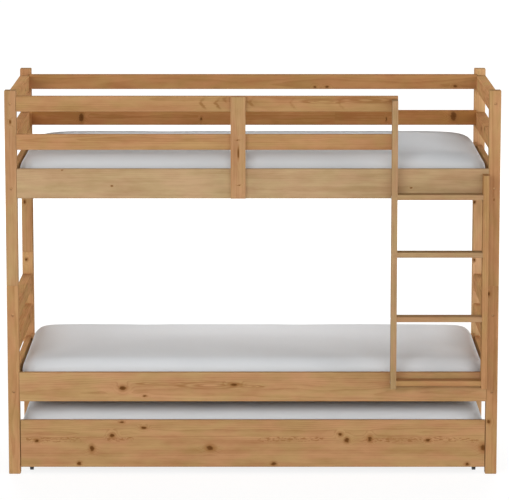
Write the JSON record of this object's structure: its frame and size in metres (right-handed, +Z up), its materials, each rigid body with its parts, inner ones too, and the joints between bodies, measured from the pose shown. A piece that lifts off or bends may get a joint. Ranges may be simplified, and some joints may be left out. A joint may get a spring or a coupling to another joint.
{
  "type": "bunk bed with trundle",
  "caption": "Pine bunk bed with guard rails, a fixed ladder, foam mattresses and a low trundle bed that rolls out at the front.",
  "frame": {"origin": "on the floor, at the middle of the bed's length and of its depth with the ladder", "axes": "+X to the right along the bed's length as seen from the front, +Y from the front to the back, +Z up; the trundle rolls out along -Y"},
  "size_m": [2, 0.961, 1.58],
  "materials": {
    "pine": "clear matt lacquer",
    "mattress_cover": "plain white cotton cover",
    "zinc_steel": "zinc plated",
    "bronzed_steel": "bronze plated",
    "black_plastic": "moulded"
  },
  "bodies": {
    "bed_frame": {"back_guard_rail_lower": "pine", "back_guard_rail_top": "pine", "back_left_lower_post": "pine", "back_left_upper_post": "pine", "back_right_lower_post": "pine", "back_right_upper_post": "pine", "front_guard_rail_lower": "pine", "front_guard_rail_top": "pine", "front_left_lower_post": "pine", "front_left_upper_post": "pine", "front_post_bolts": "bronzed_steel", "front_right_lower_post": "pine", "front_right_upper_post": "pine", "guard_stile": "pine", "ladder_left_upright": "pine", "ladder_right_upright": "pine", "ladder_tread_1": "pine", "ladder_tread_2": "pine", "ladder_tread_3": "pine", "ladder_tread_4": "pine", "lower_back_ledger": "pine", "lower_back_side_rail": "pine", "lower_front_ledger": "pine", "lower_front_side_rail": "pine", "lower_left_deck_end_rail": "pine", "lower_left_end_board_middle": "pine", "lower_left_end_board_top": "pine", "lower_mattress": "mattress_cover", "lower_right_deck_end_rail": "pine", "lower_right_end_board_middle": "pine", "lower_right_end_board_top": "pine", "lower_slats": "pine", "post_pins": "zinc_steel", "side_rail_bolts": "bronzed_steel", "upper_back_ledger": "pine", "upper_back_side_rail": "pine", "upper_front_ledger": "pine", "upper_front_side_rail": "pine", "upper_left_deck_end_rail": "pine", "upper_left_end_board_middle": "pine", "upper_left_end_board_top": "pine", "upper_mattress": "mattress_cover", "upper_right_deck_end_rail": "pine", "upper_right_end_board_middle": "pine", "upper_right_end_board_top": "pine", "upper_slats": "pine"},
    "trundle": {"caster_axles": "zinc_steel", "caster_forks": "zinc_steel", "trundle_back_board": "pine", "trundle_front_panel": "pine", "trundle_ledgers": "pine", "trundle_left_side": "pine", "trundle_mattress": "mattress_cover", "trundle_right_side": "pine", "trundle_slats": "pine"},
    "wheel_back_left": {"trundle_wheel_back_left": "black_plastic"},
    "wheel_back_right": {"trundle_wheel_back_right": "black_plastic"},
    "wheel_front_left": {"trundle_wheel_front_left": "black_plastic"},
    "wheel_front_right": {"trundle_wheel_front_right": "black_plastic"}
  },
  "joints": [
    {"name": "trundle_pull", "type": "slide", "parent": "bed_frame", "child": "trundle", "axis": [0, -1, 0], "range_m": [0, 0.85]},
    {"name": "wheel_back_left_spin", "type": "hinge", "parent": "trundle", "child": "wheel_back_left", "pos_m": [-0.911, 0.3365, 0.025], "axis": [1, 0, 0], "range_deg": [0, 1950]},
    {"name": "wheel_back_right_spin", "type": "hinge", "parent": "trundle", "child": "wheel_back_right", "pos_m": [0.911, 0.3365, 0.025], "axis": [1, 0, 0], "range_deg": [0, 1950]},
    {"name": "wheel_front_left_spin", "type": "hinge", "parent": "trundle", "child": "wheel_front_left", "pos_m": [-0.911, -0.3375, 0.025], "axis": [1, 0, 0], "range_deg": [0, 1950]},
    {"name": "wheel_front_right_spin", "type": "hinge", "parent": "trundle", "child": "wheel_front_right", "pos_m": [0.911, -0.3375, 0.025], "axis": [1, 0, 0], "range_deg": [0, 1950]}
  ],
  "couplings": [
    {"joint": "wheel_back_left_spin", "follows": "trundle_pull", "rad_per_m": 40},
    {"joint": "wheel_back_right_spin", "follows": "trundle_pull", "rad_per_m": 40},
    {"joint": "wheel_front_left_spin", "follows": "trundle_pull", "rad_per_m": 40},
    {"joint": "wheel_front_right_spin", "follows": "trundle_pull", "rad_per_m": 40}
  ]
}
